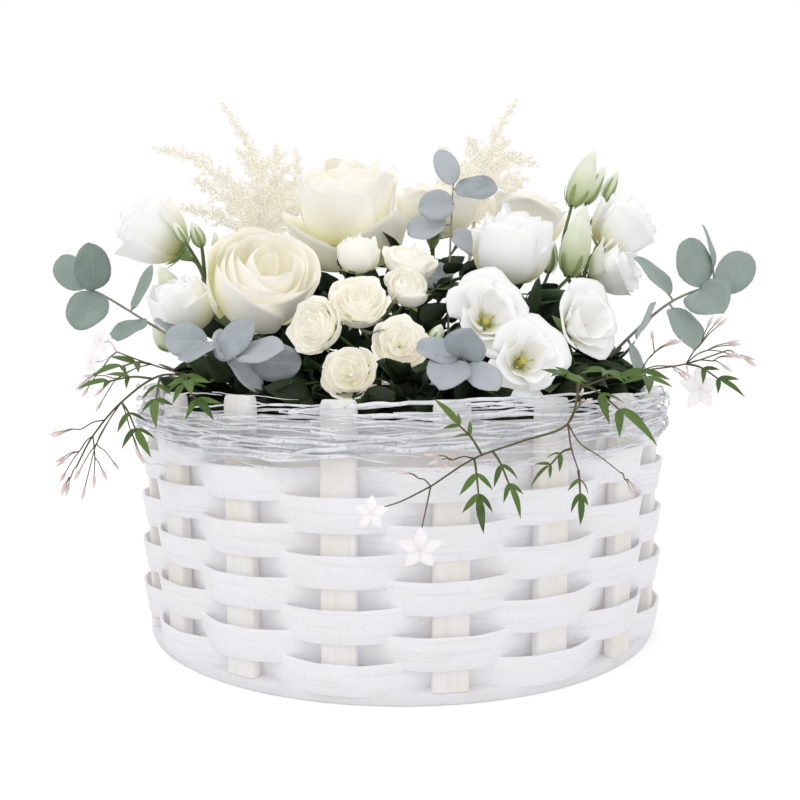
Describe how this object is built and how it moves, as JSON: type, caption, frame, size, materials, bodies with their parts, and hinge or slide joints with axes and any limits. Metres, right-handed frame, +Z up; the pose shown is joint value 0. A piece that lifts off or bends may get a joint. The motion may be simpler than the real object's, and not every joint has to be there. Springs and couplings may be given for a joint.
{
  "type": "flower basket arrangement",
  "caption": "Round whitewashed woven basket with a twig rim, filled with cut white roses, spray roses, lisianthus, astilbe, eucalyptus and trailing jasmine.",
  "frame": {"origin": "centre of the flat underside of the basket's base board", "axes": "+Z up, -Y towards the front of the arrangement, +X to the right as seen from the front"},
  "size_m": [0.4865, 0.4299, 0.4241],
  "materials": {
    "stake": "matte",
    "splint": "matte",
    "twig": "matte",
    "liner": "matte",
    "foam": "matte",
    "cream": "matte",
    "white": "matte",
    "ivory": "matte",
    "leaf": "matte",
    "bluegreen": "matte",
    "vine": "matte"
  },
  "bodies": {
    "root": {"base_board": "stake", "stake_01": "stake", "stake_02": "stake", "stake_03": "stake", "stake_04": "stake", "stake_05": "stake", "stake_06": "stake", "stake_07": "stake", "stake_08": "stake", "stake_09": "stake", "stake_10": "stake", "stake_11": "stake", "stake_12": "stake", "stake_13": "stake", "stake_14": "stake", "stake_15": "stake", "stake_16": "stake", "stake_17": "stake", "stake_18": "stake", "weaver_1": "splint", "weaver_2": "splint", "weaver_3": "splint", "weaver_4": "splint", "weaver_5": "splint", "weaver_6": "splint", "weaver_7": "splint", "weaver_8": "splint", "weaver_9": "splint", "twig_rim": "twig", "liner": "liner", "floral_foam": "foam", "rose_left_bloom": "cream", "rose_top_bloom": "cream", "rose_back_mid_bloom": "cream", "rose_back_right_bloom": "cream", "spray_rose_1": "cream", "spray_rose_2": "cream", "spray_rose_3": "cream", "spray_rose_4": "cream", "spray_rose_6": "cream", "spray_rose_5": "cream", "lisianthus_1": "white", "lisianthus_2": "white", "lisianthus_3": "white", "lisianthus_4": "white", "lisianthus_5": "white", "lisianthus_6": "white", "lisianthus_7": "white", "spray_rose_stems": "leaf", "lisianthus_right_stems": "leaf", "lisianthus_left_stems": "leaf", "rose_left_stem": "leaf", "rose_back_stems": "leaf", "astilbe_left": "ivory", "astilbe_right": "ivory", "eucalyptus_left": "bluegreen", "eucalyptus_centre": "bluegreen", "eucalyptus_right": "bluegreen", "jasmine_left": "vine", "jasmine_right": "vine"}
  },
  "joints": []
}
